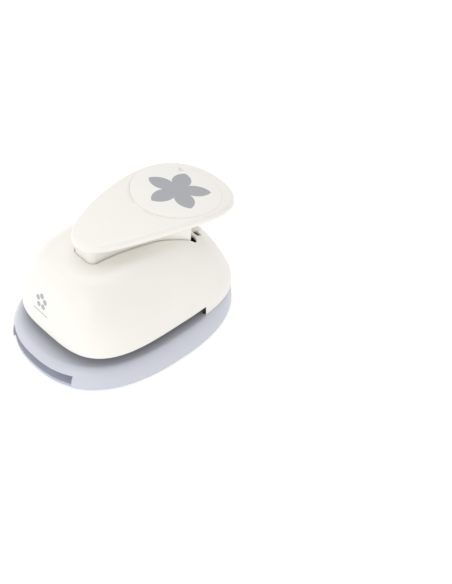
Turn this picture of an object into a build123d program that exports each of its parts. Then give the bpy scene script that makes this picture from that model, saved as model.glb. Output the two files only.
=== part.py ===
"""A lever craft punch that cuts a five-petalled flower out of paper or thin card.

Millimetres. +Z is up and the rounded nose of the base points to -Y. The pieces are drawn with the
flower's own axis at x = 0, y = 0 and the table at z = 0, and save() then moves each of them along Y,
so that the written origin is on the table under the middle of the punch.

Paper goes in through the throat between the base and the housing. Pressing the pad at the back of
the lever turns it about a pin near the front, and the nose under the lever pushes the flower
cutter down through the guide block, the paper and the die plate. Two springs lift it again.
"""

import os
from math import cos, pi, radians, sin, sqrt, tan

from build123d import *

os.makedirs("parts", exist_ok=True)

# --- Base -------------------------------------------------------------------------------------
BASE_LENGTH = 127.0
BASE_WIDTH = 99.0
BASE_TOP = 13.0
BASE_CENTRE_Y = -0.5
BASE_SQUARENESS = 2.4  # exponent of the superellipse: 2 is an ellipse, more is squarer
BASE_LEAN = 6.0  # how far the shoulder leans in at the front and sides
BASE_ROUND = 0.8
BASE_WALL = 2.4
DECK_THICKNESS = 2.4
FOOT_HEIGHT = 1.4
FOOT_RADIUS = 5.0
FOOT_POCKET = 0.6
FOOT_X = 31.0
FOOT_Y = 40.0
COVER_THICKNESS = 2.0
COLUMN_RADIUS = 3.5
RECESS_HALF_WIDTH = 26.0
RECESS_HEIGHT = 6.0
RECESS_DEPTH = 9.0
TONGUE_SETBACK = 1.2  # the cover's tongue, the recess's floor, stops this far inside the outline
COLUMN_INSET = 11.3
COLUMN_Y = (-18.0, 22.0)
CHIP_HOLE_MARGIN = 3.5

# --- Housing ----------------------------------------------------------------------------------
HOUSING_FRONT_STEP = 11.7  # the base shows this much ahead of the housing
HOUSING_REAR_STEP = 3.3
HOUSING_SIDE_STEP = 6.5
HOUSING_SQUARENESS = 3.3
HOUSING_TOP = 58.0
HOUSING_WALL = 2.2
HOUSING_LEAN = 25.0  # how far the walls come in from the bottom edge to the crown
LEAN_RISE = 1.18  # exponents of the wall's superelliptic profile
LEAN_ROUND = 2.36
CROWN_SHIFT = 6.3  # the crown sits this far ahead of the bottom edge's middle
THROAT_GAP = 6.2
THROAT_END_Y = 24.5
TROUGH_MARGIN = 1.6
TROUGH_CLEARANCE = 1.0
SLOT_X = 20.0
SLOT_WIDTH = 4.0
SLOT_DEPTH = 2.5
SLOT_BACK = 3.6

# --- Die, guide block and cutter --------------------------------------------------------------
FLOWER_TIP = 20.15
FLOWER_NOTCH = 8.8
PETAL_BELLY = 12.0  # distance from the middle at which a petal is widest
PETAL_HALF_WIDTH = 5.7
PETALS = 5
FRAME_WIDTH = 66.0
FRAME_FRONT = -38.0
FRAME_REAR = 44.0
FRAME_CORNER = 6.0
DIE_THICKNESS = 3.0
DIE_LEDGE = 3.0
LEDGE_THICKNESS = 2.0
DIE_PAD_RADIUS = 5.0
PAPER_GAP = 2.0
SPACER_FRONT = 29.0
GUIDE_THICKNESS = 8.0
GUIDE_LEAD_IN = 2.0
CUTTER_REST_LIFT = 0.6
PUSHER_LIFT = 11.0
PUSHER_THICKNESS = 4.0
PUSHER_RADIUS = 16.0
PUSHER_BAR = 11.0
PUSHER_SCREW_X = 7.0
POST_X = 27.0
POST_RADIUS = 2.0
POST_HEAD_RADIUS = 3.6
POST_HEAD_HEIGHT = 1.5
SPRING_WIRE = 1.0
SPRING_RADIUS = 3.2
SPRING_TURNS = 6.5
SPRING_POCKET_RADIUS = 4.3
SPRING_POCKET_DEPTH = 5.0

# --- Lever ------------------------------------------------------------------------------------
LEVER_LENGTH = 102.0
LEVER_WIDTH = 56.8
LEVER_FRONT_Y = -27.7
LEVER_RISE = 12.3  # top of the lever's front end above the crown
LEVER_SLOPE = 7.3  # degrees: the straight line between its ends slopes down to the back
LEVER_ARCH = 5.5  # the arched top's middle stands this far above that line
LEVER_TILT = 3.5  # degrees: slope of the skirt's lower edge and the arm under the arched top
LEVER_THICKNESS = 4.8
LEVER_WALL = 2.2
LEVER_EDGE = 2.0  # radius of the rounded rim
LEVER_END_LOSS = 0.19  # the rounding takes this much off the back end
TEARDROP_NOSE = 0.41  # exponents of the teardrop outline
TEARDROP_TAIL = 5.2
PRESS_ANGLE = 10.0
PAD_RADIUS = 25.4
PAD_BACK = 68.2  # from the lever's front end to the middle of the pad
PAD_THICKNESS = 1.3
PAD_PROUD = 0.25
SKIRT_FRONT_Y = -24.5
SKIRT_REAR_Y = 31.5
SKIRT_FRONT_HALF = 8.0
SKIRT_FLARE = 17.0
SKIRT_CURVE = 1.75
SKIRT_WALL = 1.8
SKIRT_DEPTH = 18.0
SKIRT_FRONT_CORNER = 3.5
SKIRT_REAR_CORNER = 2.2
OPENING_CLEARANCE = 1.0
OPENING_REAR_SWING = 1.4  # the skirt's back wall swings out by this much as it goes down
HOOK_HALF_WIDTH = 6.0
HOOK_REACH = 4.2
HOOK_THICKNESS = 1.6
HOOK_GAP = 0.4
HOOK_SETBACK = 1.2
EAR_CLEARANCE = 2.0

# --- Lever arm, pivot and nose ----------------------------------------------------------------
PIVOT_Y = -24.5
PIVOT_DROP = 12.0  # below the crown
PIN_RADIUS = 2.0
PIN_END = 1.0
CLIP_RADIUS = 3.8
CLIP_THICKNESS = 0.8
ARM_HALF_WIDTH = 5.0
ARM_SHEET = 1.5
ARM_DEPTH = 8.0  # from the lever's top plane to the top of the arm
ARM_HUB = 5.0
ARM_REAR_Y = 28.0
ARM_TAIL = 7.0
ARM_BOSS_RADIUS = 3.4
ARM_BOSS_PLACES = (34.2, 50.2)  # along the lever, from its front end
ARM_BOSS_REACH = 9.2
NOSE_RADIUS = 4.0
NOSE_GAP = 0.15
NOSE_PIN_RADIUS = 1.5
NOSE_HUB = 2.3
NOSE_BLOCK = 4.5
BRACKET_SHEET = 1.5
BRACKET_GAP = 0.6
BRACKET_FRONT = 13.0
BRACKET_REAR = 2.0
BRACKET_HALF_WIDTH = 14.5
EAR_HALF_WIDTH = 4.0

# --- Screws, rivets and fits ------------------------------------------------------------------
SCREW_RADIUS = 1.5
SCREW_HEAD_RADIUS = 2.75
SCREW_HEAD_HEIGHT = 2.0
COUNTERSINK_DEPTH = 1.4
DRIVE_WIDTH = 0.7
DRIVE_LENGTH = 3.2
DRIVE_DEPTH = 0.7
RIVET_RADIUS = 2.0
RIVET_HEAD_RADIUS = 3.4
RIVET_HEAD_HEIGHT = 1.2
BOSS_RADIUS = 3.8
DIE_SCREW_INSET = 5.0
DIE_SCREW_GRIP = 2.2
RIVET_X = 18.0
FRONT_BOSS_INSET = 7.0
FRONT_BOSS_BACK = 13.0
REAR_BOSS_INSET = 9.0
REAR_BOSS_X = 20.0
BRACKET_SCREW_OUT = 3.7  # from the bracket's ears
BRACKET_SCREW_BACK = (2.0, 9.0)  # ahead of the pivot
BREAK_EDGE = 0.3  # small chamfers
PLATE_EDGE = 0.5
SCREW_END_GAP = 0.5
THREAD_LENGTH = 6.0
SEAT_GAP = 0.2  # between a piece and the pocket that it drops into
RUNNING_FIT = 0.05  # radial
SCREW_FIT = 0.05
CUTTER_FIT = 0.05
SIDE_GAP = 0.1

# --- Worked out from the sizes above ----------------------------------------------------------
base_bottom = FOOT_HEIGHT - FOOT_POCKET
base_front = BASE_CENTRE_Y - BASE_LENGTH / 2
cover_top = base_bottom + COVER_THICKNESS
deck_under = BASE_TOP - DECK_THICKNESS
housing_length = BASE_LENGTH - HOUSING_FRONT_STEP - HOUSING_REAR_STEP
housing_width = BASE_WIDTH - 2 * HOUSING_SIDE_STEP
housing_centre = base_front + HOUSING_FRONT_STEP + housing_length / 2
housing_edge = BASE_TOP + THROAT_GAP
die_bottom = BASE_TOP - DIE_THICKNESS
guide_bottom = BASE_TOP + PAPER_GAP
guide_top = guide_bottom + GUIDE_THICKNESS
frame_centre = (FRAME_FRONT + FRAME_REAR) / 2
frame_length = FRAME_REAR - FRAME_FRONT
cutter_bottom = guide_bottom + CUTTER_REST_LIFT
pusher_bottom = guide_top + PUSHER_LIFT
pusher_top = pusher_bottom + PUSHER_THICKNESS
pocket_floor = guide_top - SPRING_POCKET_DEPTH
pivot_z = HOUSING_TOP - PIVOT_DROP
lever_front_top = HOUSING_TOP + LEVER_RISE
nose_axis = pusher_top + NOSE_GAP + NOSE_RADIUS
arm_inner = ARM_HALF_WIDTH - ARM_SHEET
ear_inner = ARM_HALF_WIDTH + BRACKET_GAP
ear_outer = ear_inner + BRACKET_SHEET
hook_end = SKIRT_REAR_Y + HOOK_REACH
arch_radius = (LEVER_LENGTH**2 / 4 + LEVER_ARCH**2) / (2 * LEVER_ARCH)
lever_rear = LEVER_FRONT_Y + LEVER_LENGTH * cos(radians(LEVER_SLOPE)) - LEVER_END_LOSS
recess_top = cover_top + RECESS_HEIGHT

column_places = [
    (side * (BASE_WIDTH / 2 - COLUMN_INSET), y) for side in (-1, 1) for y in COLUMN_Y
]
foot_places = [(side * FOOT_X, end * FOOT_Y) for side in (-1, 1) for end in (-1, 1)]
die_screw_places = [
    (side * (FRAME_WIDTH / 2 - DIE_SCREW_INSET), y)
    for side in (-1, 1)
    for y in (FRAME_FRONT + DIE_SCREW_INSET, FRAME_REAR - DIE_SCREW_INSET)
]
rivet_places = [(side * RIVET_X, (SPACER_FRONT + FRAME_REAR) / 2) for side in (-1, 1)]
front_boss_places = [
    (side * (FRAME_WIDTH / 2 - FRONT_BOSS_INSET), FRAME_FRONT + FRONT_BOSS_BACK)
    for side in (-1, 1)
]
rear_boss_y = housing_centre + housing_length / 2 - REAR_BOSS_INSET
rear_boss_places = [(side * REAR_BOSS_X, rear_boss_y) for side in (-1, 1)]
post_places = [(side * POST_X, 0) for side in (-1, 1)]
pusher_screw_places = [(side * PUSHER_SCREW_X, 0) for side in (-1, 1)]
bracket_screw_places = [
    (side * (ear_outer + BRACKET_SCREW_OUT), PIVOT_Y - offset)
    for side in (-1, 1)
    for offset in BRACKET_SCREW_BACK
]


def lean_at(share):
    """How far the base's wall leans in at this share of its height: a quarter of an oval."""
    return BASE_LEAN * (1 - sqrt(1 - share**2.5))


# Over the recess the leaning wall is the nose's foremost point; the origin is halfway to the back.
nose_front = base_front + lean_at((recess_top - base_bottom) / (BASE_TOP - base_bottom))
origin_y = (nose_front + lever_rear) / 2


def save(piece, name):
    """Moves a finished piece so that the origin is under the punch's middle, and writes it."""
    placed = piece.part.moved(Location((0, -origin_y, 0)))
    placed.label = name
    export_step(placed, f"parts/{name}.step")


def ring(length, width, squareness, centre_y, count=32):
    """Points round a superellipse, at even angles."""
    points = []
    for step in range(count):
        angle = 2 * pi * step / count
        across = abs(cos(angle) / (width / 2)) ** squareness
        along = abs(sin(angle) / (length / 2)) ** squareness
        reach = (across + along) ** (-1 / squareness)
        points.append((reach * cos(angle), centre_y + reach * sin(angle)))
    return points


def fill(points):
    """The face inside a smooth closed line through the points, for the sketch being made."""
    with BuildLine() as outline:
        Spline(*points, periodic=True)
    make_face(outline.edges())


def base_ring(inset, lean):
    """The base's outline, drawn in all round by inset and at the front and sides by lean."""
    length = BASE_LENGTH - 2 * inset - lean
    width = BASE_WIDTH - 2 * inset - 2 * lean
    return ring(length, width, BASE_SQUARENESS, BASE_CENTRE_Y + lean / 2)


def base_body(inset, bottom, top, rounding):
    """Lofts the base, from bottom to top, inside the part being made; rounding is at its foot."""
    sections = []
    for height in (0.0, 0.1, 0.3, 0.5, 0.7, 0.85, 0.95, 1.0):
        lean = lean_at(height)
        round_under = rounding * max(0.0, 1 - height / 0.1)
        with BuildSketch(Plane.XY.offset(bottom + height * (top - bottom))) as section:
            fill(base_ring(inset + round_under, lean))
        sections.append(section.sketch)
    loft(sections)


def housing_body(inset):
    """Lofts the housing's crown, smaller all round by inset, inside the part being made.

    The wall follows a superellipse: it starts upright at the bottom edge and ends level.
    """
    sections = []
    for step in range(7):
        turn = max(0.0, cos(radians(15 * step)))
        height = (1 - turn**LEAN_ROUND) ** (1 / LEAN_RISE)
        draw_in = 2 * (inset + HOUSING_LEAN * (1 - turn))
        middle = housing_centre - CROWN_SHIFT * height
        z = housing_edge + height * (HOUSING_TOP - inset - housing_edge)
        with BuildSketch(Plane.XY.offset(z)) as section:
            fill(ring(housing_length - draw_in, housing_width - draw_in, HOUSING_SQUARENESS, middle))
        sections.append(section.sketch)
    loft(sections)
    # Below the crown's bottom edge an upright band goes on down to the deck.
    with BuildSketch(Plane.XY.offset(BASE_TOP)) as band:
        length = housing_length - 2 * inset
        fill(ring(length, housing_width - 2 * inset, HOUSING_SQUARENESS, housing_centre))
    extrude(band.sketch, amount=THROAT_GAP)


def lever_plane(depth):
    """A plane at the arm's slope, this far under the top of the resting lever's front end."""
    tilt = radians(LEVER_TILT)
    origin = (0, LEVER_FRONT_Y - depth * sin(tilt), lever_front_top - depth * cos(tilt))
    return Plane(origin, x_dir=(1, 0, 0), z_dir=(0, sin(tilt), cos(tilt)))


def lever_height(y, depth):
    """Height at y of the plane at the arm's slope."""
    tilt = radians(LEVER_TILT)
    return lever_front_top - (y - LEVER_FRONT_Y) * tan(tilt) - depth / cos(tilt)


def chord_plane(swing=0.0):
    """The plane through both ends of the lever's top, with the lever pressed by swing degrees."""
    slope, turn = radians(LEVER_SLOPE), radians(swing)
    y, z = LEVER_FRONT_Y - PIVOT_Y, lever_front_top - pivot_z
    origin = (0, PIVOT_Y + y * cos(turn) + z * sin(turn), pivot_z + z * cos(turn) - y * sin(turn))
    return Plane(origin, x_dir=(1, 0, 0), z_dir=(0, sin(slope + turn), cos(slope + turn)))


def arch_centre(swing=0.0):
    """The middle of the circle that the lever's top follows from front to back."""
    chord = chord_plane(swing)
    return chord.origin + chord.y_dir * (LEVER_LENGTH / 2) - chord.z_dir * (arch_radius - LEVER_ARCH)


def arch_height(y, depth, swing=0.0):
    """Height at y of the arc this far under the lever's top."""
    centre = arch_centre(swing)
    return centre.Z + sqrt((arch_radius - depth) ** 2 - (y - centre.Y) ** 2)


def trough_height(y):
    """Height of the trough's floor at y: the pressed lever's underside and a clearance."""
    return arch_height(y, LEVER_THICKNESS + TROUGH_CLEARANCE, PRESS_ANGLE)


def under_arch(block, depth):
    """What is left of a block this far under the lever's arched top, or deeper."""
    centre = arch_centre()
    with BuildPart() as kept:
        add(block)
        with BuildSketch(Plane.YZ):
            with Locations((centre.Y, centre.Z)):
                Circle(arch_radius - depth)
        extrude(amount=LEVER_WIDTH, both=True, mode=Mode.INTERSECT)
    return kept.part


def arched(outline, top, bottom, swing=0.0):
    """A block with this outline between two depths under the lever's arched top."""
    centre = arch_centre(swing)
    with BuildPart() as block:
        with BuildSketch(chord_plane(swing)):
            fill(outline)
        extrude(amount=HOUSING_TOP, both=True)
        with BuildSketch(Plane.YZ):
            with Locations((centre.Y, centre.Z)):
                Circle(arch_radius - top)
                Circle(arch_radius - bottom, mode=Mode.SUBTRACT)
        extrude(amount=LEVER_WIDTH, both=True, mode=Mode.INTERSECT)
    return block.part


def teardrop(inset):
    """The lever's outline, drawn in by inset: a nose power times the root of a blunt tail."""
    share = TEARDROP_NOSE / (TEARDROP_NOSE + TEARDROP_TAIL / 2)
    widest = share ** (TEARDROP_NOSE / TEARDROP_TAIL) * sqrt(1 - share)
    steps = 15
    right = []
    for step in range(steps + 1):
        along = (1 - cos(pi * step / steps)) / 2
        half = along**TEARDROP_NOSE * sqrt(1 - along**TEARDROP_TAIL) / widest
        y = inset + along * (LEVER_LENGTH - 2 * inset)
        right.append((half * (LEVER_WIDTH / 2 - inset), y))
    left = [(-x, y) for x, y in right[-2:0:-1]]
    return right + left


def skirt_block(plane, origin_y, height, grow, rear_grow):
    """The skirt's solid: a narrow front, flaring to a wide flat back. Grown, it is the opening."""
    front = SKIRT_FRONT_Y - grow
    rear = SKIRT_REAR_Y + rear_grow
    side = []
    for step in range(7):
        y = front + (rear - front) * step / 6
        along = max(0.0, (y - SKIRT_FRONT_Y) / (SKIRT_REAR_Y - SKIRT_FRONT_Y))
        side.append((SKIRT_FRONT_HALF + grow + SKIRT_FLARE * along**SKIRT_CURVE, y - origin_y))
    with BuildPart() as block:
        with BuildSketch(plane):
            with BuildLine():
                right = Spline(*side)
                left = Spline(*[(-x, y) for x, y in side])
                Line(right @ 0, left @ 0)
                Line(right @ 1, left @ 1)
            make_face()
        extrude(amount=height)
        upright = Axis(plane.origin, plane.z_dir)
        for end, corner in ((0, SKIRT_FRONT_CORNER), (-1, SKIRT_REAR_CORNER)):
            fillet(block.edges().filter_by(upright).group_by(Axis.Y)[end], corner + grow)
    return block.part


def flower(grow):
    """The flower: petals of two bulging arcs, grown all round by a fit. One points to the front."""
    half_step = pi / PETALS
    notch = FLOWER_NOTCH + grow / cos(half_step)
    with BuildLine() as outline:
        for petal in range(PETALS):
            middle = -pi / 2 + 2 * half_step * petal
            tip = ((FLOWER_TIP + grow) * cos(middle), (FLOWER_TIP + grow) * sin(middle))
            for side in (-1, 1):
                edge = middle + side * half_step
                belly = PETAL_HALF_WIDTH + grow
                bulge = (
                    PETAL_BELLY * cos(middle) - side * belly * sin(middle),
                    PETAL_BELLY * sin(middle) + side * belly * cos(middle),
                )
                ThreePointArc((notch * cos(edge), notch * sin(edge)), bulge, tip)
    make_face(outline.edges())


def screw_shape(length, flat_head):
    """A screw with its head at z = 0 and its shank up to z = length; a flat head sits flush."""
    with BuildPart() as screw:
        with BuildSketch(Plane.XZ):
            with BuildLine():
                if flat_head:
                    Polyline(
                        (0, 0),
                        (SCREW_HEAD_RADIUS, 0),
                        (SCREW_RADIUS, COUNTERSINK_DEPTH),
                        (SCREW_RADIUS, length),
                        (0, length),
                        close=True,
                    )
                else:
                    Polyline(
                        (0, -SCREW_HEAD_HEIGHT),
                        (SCREW_HEAD_RADIUS, -SCREW_HEAD_HEIGHT),
                        (SCREW_HEAD_RADIUS, 0),
                        (SCREW_RADIUS, 0),
                        (SCREW_RADIUS, length),
                        (0, length),
                        close=True,
                    )
            make_face()
        revolve(axis=Axis.Z)
        face = 0 if flat_head else -SCREW_HEAD_HEIGHT
        with BuildSketch(Plane.XY.offset(face)):
            Rectangle(DRIVE_LENGTH, DRIVE_WIDTH)
            Rectangle(DRIVE_WIDTH, DRIVE_LENGTH)
        extrude(amount=DRIVE_DEPTH, mode=Mode.SUBTRACT)
    return screw.part


def screws_up(places, height, length, flat_head=False):
    """A group of screws going up, with the underside of their heads at this height."""
    shape = screw_shape(length, flat_head)
    with BuildPart() as group:
        with Locations(*[(x, y, height) for x, y in places]):
            add(shape)
    return group


def screws_down(places, height, length, flat_head=False):
    """A group of screws going down, with the underside of their heads at this height."""
    shape = screw_shape(length, flat_head)
    with BuildPart() as group:
        with Locations(*[Location((x, y, height), (180, 0, 0)) for x, y in places]):
            add(shape)
    return group


def sinks_up(places, height):
    """Cuts countersinks for flush screws going up, in the part being made."""
    with Locations(*[(x, y, height) for x, y in places]):
        Cone(
            SCREW_HEAD_RADIUS + SCREW_FIT,
            SCREW_RADIUS + SCREW_FIT,
            COUNTERSINK_DEPTH,
            align=(Align.CENTER, Align.CENTER, Align.MIN),
            mode=Mode.SUBTRACT,
        )


def bores(places, radius, bottom, top):
    """Cuts upright round holes, from bottom to top, in the part being made."""
    with BuildSketch(Plane.XY.offset(bottom)) as rounds:
        with Locations(*places):
            Circle(radius)
    extrude(rounds.sketch, amount=top - bottom, mode=Mode.SUBTRACT)


# --- Base shell: the lavender tub that the paper slides over ----------------------------------
with BuildPart() as base_cavity:
    base_body(BASE_WALL, base_bottom, deck_under, 0.0)
    # The wall behind the finger recess stands in the cavity.
    with BuildSketch(Plane.XY.offset(cover_top)) as recess_wall:
        with Locations((0, base_front)):
            Rectangle(2 * (RECESS_HALF_WIDTH + BASE_WALL), BASE_LENGTH / 2)
        with BuildSketch(mode=Mode.SUBTRACT):
            fill(base_ring(RECESS_DEPTH + BASE_WALL, 0))
    extrude(amount=BASE_TOP, mode=Mode.SUBTRACT)
    # So do the columns for the cover's screws, and the ledge that the die plate rests on.
    with BuildSketch(Plane.XY.offset(cover_top)):
        with Locations(*column_places):
            Circle(COLUMN_RADIUS)
    extrude(amount=BASE_TOP, mode=Mode.SUBTRACT)
    with BuildSketch(Plane.XY.offset(die_bottom - LEDGE_THICKNESS)):
        with Locations((0, frame_centre)):
            RectangleRounded(
                FRAME_WIDTH + 2 * BASE_WALL, frame_length + 2 * BASE_WALL, FRAME_CORNER + BASE_WALL
            )
    extrude(amount=BASE_TOP, mode=Mode.SUBTRACT)

with BuildPart() as base_shell:
    base_body(0, base_bottom, BASE_TOP, BASE_ROUND)
    add(base_cavity.part, mode=Mode.SUBTRACT)
    with BuildSketch(Plane.XY.offset(die_bottom)):
        with Locations((0, frame_centre)):
            RectangleRounded(
                FRAME_WIDTH + 2 * SEAT_GAP, frame_length + 2 * SEAT_GAP, FRAME_CORNER + SEAT_GAP
            )
    extrude(amount=DIE_THICKNESS, mode=Mode.SUBTRACT)
    with BuildSketch(Plane.XY.offset(die_bottom - LEDGE_THICKNESS)):
        with Locations((0, frame_centre)):
            RectangleRounded(FRAME_WIDTH - 2 * DIE_LEDGE, frame_length - 2 * DIE_LEDGE, FRAME_CORNER)
        with Locations(*die_screw_places):
            Circle(DIE_PAD_RADIUS, mode=Mode.SUBTRACT)
    extrude(amount=DIE_THICKNESS, mode=Mode.SUBTRACT)
    # The finger recess: a window in the nose, which the cover's tongue closes from below.
    with BuildSketch(Plane.XY.offset(base_bottom)):
        with Locations((0, base_front)):
            Rectangle(2 * RECESS_HALF_WIDTH, BASE_LENGTH / 2)
        with BuildSketch(mode=Mode.SUBTRACT):
            fill(base_ring(RECESS_DEPTH, 0))
    extrude(amount=recess_top - base_bottom, mode=Mode.SUBTRACT)
    bores(column_places, SCREW_RADIUS + SCREW_FIT, cover_top, cover_top + THREAD_LENGTH)
    bores(die_screw_places, SCREW_RADIUS + SCREW_FIT, die_bottom - LEDGE_THICKNESS, die_bottom)
    bores(rear_boss_places, SCREW_RADIUS + SCREW_FIT, deck_under, BASE_TOP)
save(base_shell, "base_shell")

# --- Bottom cover, feet and screws ------------------------------------------------------------
with BuildPart() as bottom_cover:
    with BuildSketch(Plane.XY.offset(base_bottom)):
        with Locations((0, base_front)):
            Rectangle(2 * (RECESS_HALF_WIDTH - SEAT_GAP), BASE_LENGTH / 2)
        with BuildSketch(mode=Mode.INTERSECT):
            fill(base_ring(TONGUE_SETBACK, 0))
        with BuildSketch():
            fill(base_ring(BASE_WALL + SEAT_GAP, 0))
        Circle(FLOWER_TIP + CHIP_HOLE_MARGIN, mode=Mode.SUBTRACT)
    extrude(amount=COVER_THICKNESS)
    bores(foot_places, FOOT_RADIUS + SCREW_FIT, base_bottom, base_bottom + FOOT_POCKET)
    bores(column_places, SCREW_RADIUS + SCREW_FIT, base_bottom, cover_top)
    sinks_up(column_places, base_bottom)
save(bottom_cover, "bottom_cover")

with BuildPart() as rubber_feet:
    with BuildSketch():
        with Locations(*foot_places):
            Circle(FOOT_RADIUS)
    extrude(amount=FOOT_HEIGHT)
    chamfer(rubber_feet.faces().group_by(Axis.Z)[0].edges(), BREAK_EDGE)
save(rubber_feet, "rubber_feet")

cover_screws = screws_up(column_places, base_bottom, THREAD_LENGTH, flat_head=True)
save(cover_screws, "cover_screws")

# --- Die plate, spacer and guide block: the steel sandwich ------------------------------------
with BuildPart() as die_plate:
    with BuildSketch(Plane.XY.offset(die_bottom)):
        with Locations((0, frame_centre)):
            RectangleRounded(FRAME_WIDTH, frame_length, FRAME_CORNER)
        with BuildSketch(mode=Mode.SUBTRACT):
            flower(CUTTER_FIT)
    extrude(amount=DIE_THICKNESS)
    bores(rivet_places, RIVET_RADIUS + SCREW_FIT, die_bottom, BASE_TOP)
    bores(die_screw_places, SCREW_RADIUS + SCREW_FIT, die_bottom, die_bottom + DIE_SCREW_GRIP + SCREW_FIT)
save(die_plate, "die_plate")

die_screws = screws_up(die_screw_places, die_bottom - LEDGE_THICKNESS, LEDGE_THICKNESS + DIE_SCREW_GRIP)
save(die_screws, "die_screws")

with BuildPart() as throat_spacer:
    with BuildSketch(Plane.XY.offset(BASE_TOP)):
        with Locations((0, (SPACER_FRONT + FRAME_REAR) / 2)):
            Rectangle(FRAME_WIDTH - 2 * FRAME_CORNER, FRAME_REAR - SPACER_FRONT)
    extrude(amount=PAPER_GAP)
    bores(rivet_places, RIVET_RADIUS + SCREW_FIT, BASE_TOP, guide_bottom)
save(throat_spacer, "throat_spacer")

with BuildPart() as guide_block:
    with BuildSketch(Plane.XY.offset(guide_bottom)):
        with Locations((0, frame_centre)):
            RectangleRounded(FRAME_WIDTH, frame_length, FRAME_CORNER)
    extrude(amount=GUIDE_THICKNESS)
    chamfer(guide_block.faces().sort_by(Axis.Z)[0].edges(), GUIDE_LEAD_IN)
    with BuildSketch(Plane.XY.offset(guide_bottom)):
        flower(CUTTER_FIT)
    extrude(amount=GUIDE_THICKNESS, mode=Mode.SUBTRACT)
    bores(post_places, SPRING_POCKET_RADIUS, pocket_floor, guide_top)
    bores(post_places, POST_RADIUS + SCREW_FIT, guide_bottom, pocket_floor)
    bores(rivet_places, RIVET_RADIUS + SCREW_FIT, guide_bottom, guide_top)
    bores(front_boss_places, SCREW_RADIUS + SCREW_FIT, guide_bottom, guide_top)
    sinks_up(front_boss_places, guide_bottom)
    bores(bracket_screw_places, SCREW_RADIUS + SCREW_FIT, guide_top - THREAD_LENGTH, guide_top)
save(guide_block, "guide_block")

with BuildPart() as frame_rivets:
    with BuildSketch(Plane.XY.offset(die_bottom)):
        with Locations(*rivet_places):
            Circle(RIVET_RADIUS)
    extrude(amount=guide_top - die_bottom)
    for height in (die_bottom - RIVET_HEAD_HEIGHT, guide_top):
        with BuildSketch(Plane.XY.offset(height)):
            with Locations(*rivet_places):
                Circle(RIVET_HEAD_RADIUS)
        extrude(amount=RIVET_HEAD_HEIGHT)
    chamfer(frame_rivets.faces().sort_by(Axis.Z)[-2:].edges(), PLATE_EDGE)
save(frame_rivets, "frame_rivets")

# --- Cutter, pusher plate, posts and springs --------------------------------------------------
with BuildPart() as punch_cutter:
    with BuildSketch(Plane.XY.offset(cutter_bottom)):
        flower(0)
    extrude(amount=pusher_bottom - cutter_bottom)
    threads_from = pusher_bottom - THREAD_LENGTH
    bores(pusher_screw_places, SCREW_RADIUS + SCREW_FIT, threads_from, pusher_bottom)
save(punch_cutter, "punch_cutter")

with BuildPart() as pusher_plate:
    with BuildSketch(Plane.XY.offset(pusher_bottom)):
        Circle(PUSHER_RADIUS)
        RectangleRounded(2 * (POST_X + POST_HEAD_RADIUS), PUSHER_BAR, PUSHER_BAR / 3)
    extrude(amount=PUSHER_THICKNESS)
    chamfer(pusher_plate.faces().sort_by(Axis.Z)[-1].edges(), PLATE_EDGE)
    bores(post_places, POST_RADIUS + RUNNING_FIT, pusher_bottom, pusher_top)
    bores(pusher_screw_places, SCREW_RADIUS + SCREW_FIT, pusher_bottom, pusher_top)
    with Locations(*[(x, y, pusher_top) for x, y in pusher_screw_places]):
        Cone(
            SCREW_RADIUS + SCREW_FIT,
            SCREW_HEAD_RADIUS + SCREW_FIT,
            COUNTERSINK_DEPTH,
            align=(Align.CENTER, Align.CENTER, Align.MAX),
            mode=Mode.SUBTRACT,
        )
save(pusher_plate, "pusher_plate")

pusher_screw_length = PUSHER_THICKNESS + THREAD_LENGTH - SCREW_END_GAP
pusher_screws = screws_down(pusher_screw_places, pusher_top, pusher_screw_length, flat_head=True)
save(pusher_screws, "pusher_screws")

with BuildPart() as guide_posts:
    with BuildSketch(Plane.XY.offset(guide_bottom + SEAT_GAP)):
        with Locations(*post_places):
            Circle(POST_RADIUS)
    extrude(amount=pusher_top - guide_bottom)
    with BuildSketch(Plane.XY.offset(pusher_top + SEAT_GAP)):
        with Locations(*post_places):
            Circle(POST_HEAD_RADIUS)
    extrude(amount=POST_HEAD_HEIGHT)
    chamfer(guide_posts.faces().sort_by(Axis.Z)[-2:].edges(), BREAK_EDGE)
save(guide_posts, "guide_posts")

spring_bottom = pocket_floor + SPRING_WIRE / 2 + RUNNING_FIT
spring_length = pusher_bottom - SPRING_WIRE / 2 - RUNNING_FIT - spring_bottom
for side, name in ((-1, "return_spring_left"), (1, "return_spring_right")):
    with BuildPart() as return_spring:
        with BuildLine(Plane((side * POST_X, 0, spring_bottom))):
            coil = Helix(spring_length / SPRING_TURNS, spring_length, SPRING_RADIUS)
        with BuildSketch(Plane(coil @ 0, z_dir=coil % 0)):
            Circle(SPRING_WIRE / 2)
        sweep(path=coil, is_frenet=True)
    save(return_spring, name)

# --- Upper housing ----------------------------------------------------------------------------
trough_depth = LEVER_THICKNESS + TROUGH_CLEARANCE
with BuildPart() as trough:  # all that the pressed lever needs above the housing's back
    add(arched(teardrop(-TROUGH_MARGIN), -HOUSING_TOP / 2, trough_depth, PRESS_ANGLE))

with BuildPart() as trough_inside:
    add(
        arched(
            teardrop(-TROUGH_MARGIN - HOUSING_WALL),
            -HOUSING_TOP / 2,
            trough_depth + HOUSING_WALL,
            PRESS_ANGLE,
        )
    )

with BuildPart() as housing_cavity:
    housing_body(HOUSING_WALL)
    add(trough_inside.part, mode=Mode.SUBTRACT)
    for places, bottom in ((front_boss_places, guide_top), (rear_boss_places, BASE_TOP)):
        with BuildSketch(Plane.XY.offset(bottom)):
            with Locations(*places):
                Circle(BOSS_RADIUS)
        extrude(amount=HOUSING_TOP, mode=Mode.SUBTRACT)

skirt_opening = skirt_block(
    Plane.XY.offset(pusher_top),
    0,
    HOUSING_TOP,
    OPENING_CLEARANCE,
    OPENING_CLEARANCE + OPENING_REAR_SWING,
)

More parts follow.
